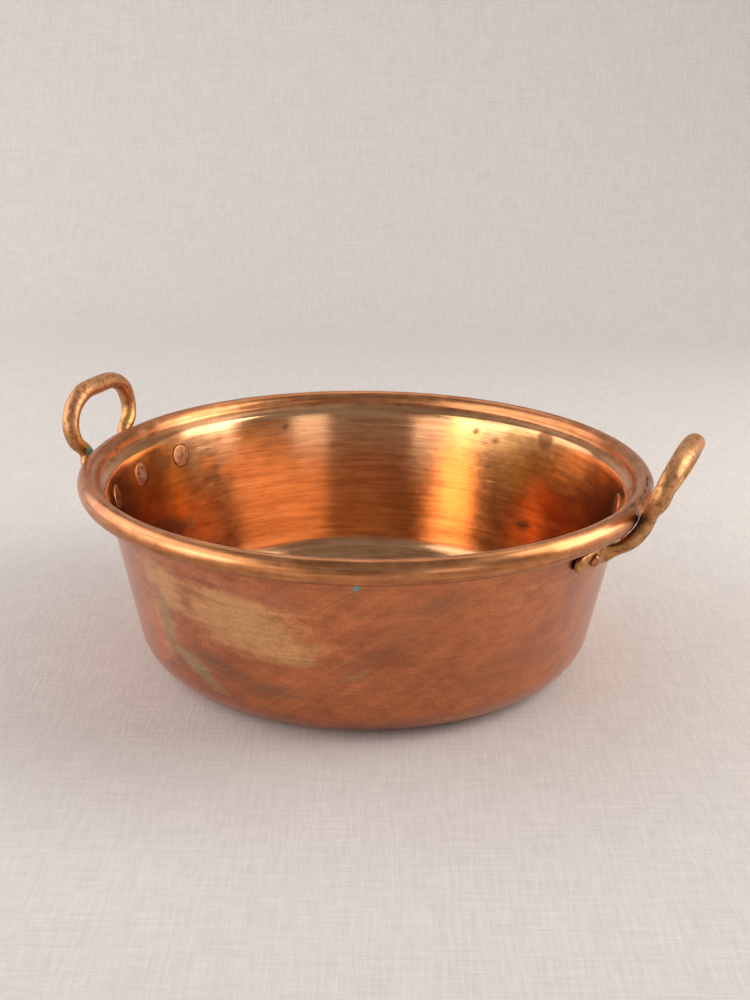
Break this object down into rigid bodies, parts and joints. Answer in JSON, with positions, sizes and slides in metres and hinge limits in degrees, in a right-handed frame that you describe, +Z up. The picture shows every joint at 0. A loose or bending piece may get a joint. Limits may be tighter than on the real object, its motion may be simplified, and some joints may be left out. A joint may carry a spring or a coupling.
{
  "type": "preserving pan",
  "caption": "Wide round sheet copper bowl with a flat base, flared wall, wired rolled rim and two riveted bronze loop handles for lifting.",
  "frame": {"origin": "centre of the flat underside, on the surface that the pan stands on", "axes": "+Z up along the bowl's axis; +X towards the right handle, -X towards the left one; -Y towards the user"},
  "size_m": [0.4463, 0.3998, 0.1809],
  "materials": {
    "copper_sheet": "worn polished copper with brown and red patina, fine scratches",
    "iron_wire": "dark drawn iron wire, enclosed in the rim",
    "cast_bronze": "cast bronze, slightly pitted, worn smooth by hands",
    "rivet_copper": "hammered copper rivet, dull pinkish brown"
  },
  "bodies": {
    "root": {"pan_shell": "copper_sheet", "rim_wire": "iron_wire", "handle_left": "cast_bronze", "handle_right": "cast_bronze", "rivet_left_front": "rivet_copper", "rivet_left_middle": "rivet_copper", "rivet_left_rear": "rivet_copper", "rivet_right_front": "rivet_copper", "rivet_right_middle": "rivet_copper", "rivet_right_rear": "rivet_copper"}
  },
  "joints": []
}
